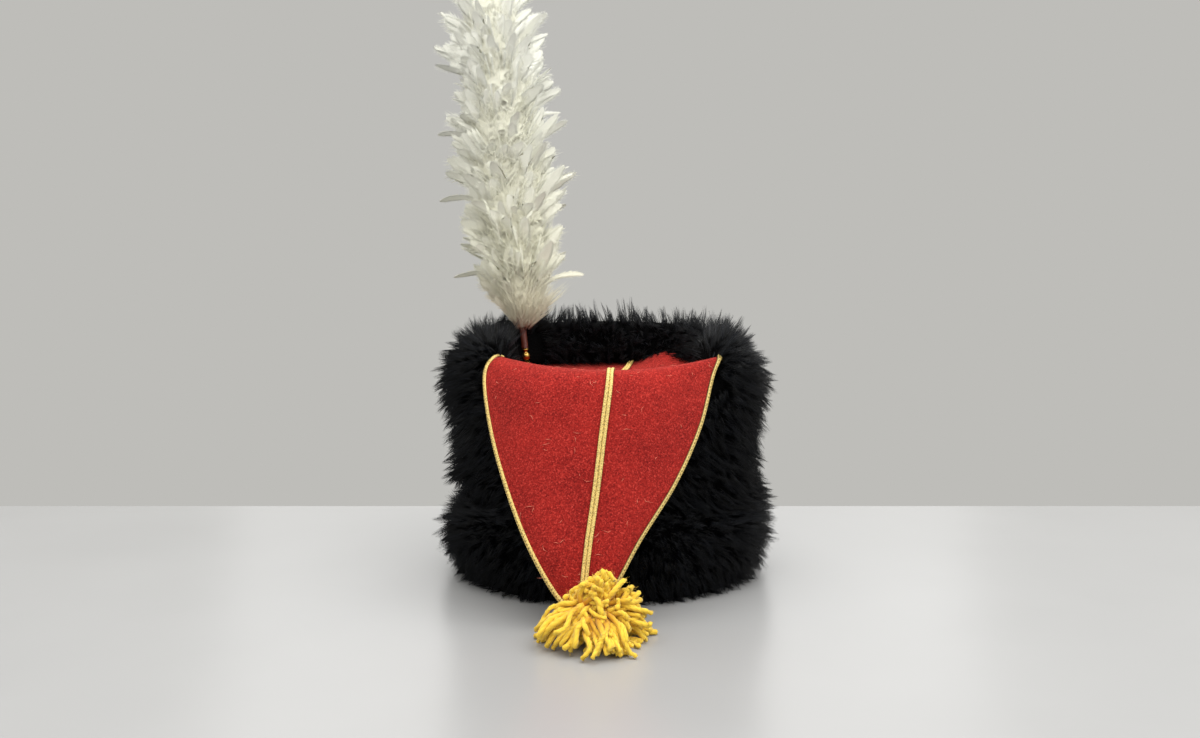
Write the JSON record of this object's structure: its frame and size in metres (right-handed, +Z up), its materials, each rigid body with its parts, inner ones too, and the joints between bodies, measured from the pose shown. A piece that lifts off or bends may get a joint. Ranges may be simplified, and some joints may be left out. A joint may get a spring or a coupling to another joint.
{
  "type": "busby",
  "caption": "Oval black fur busby whose red felt bag closes the top and falls over one side to a yarn pompom, with gold braid and a tall white feather plume.",
  "frame": {"origin": "middle of the bounding box on the surface that the cap stands on", "axes": "+Z up from the rim to the plume, -Y to the side that the bag falls over, -X to the plume's end"},
  "size_m": [0.2776, 0.3424, 0.5025],
  "materials": {
    "fur": "long black pile with a soft gloss",
    "felt": "napped red wool felt",
    "braid": "twisted pale gold cord",
    "yarn": "loose yellow plied yarn",
    "feather": "ivory hackle feathers",
    "wound_thread": "tight dark red-brown thread",
    "brass": "worn polished brass"
  },
  "bodies": {
    "root": {"fur_cap": "fur", "bag": "felt", "braid_left": "braid", "braid_right": "braid", "braid_centre": "braid", "pompom": "yarn", "plume": "feather", "plume_stem": "wound_thread", "plume_ferrule": "brass"}
  },
  "joints": []
}
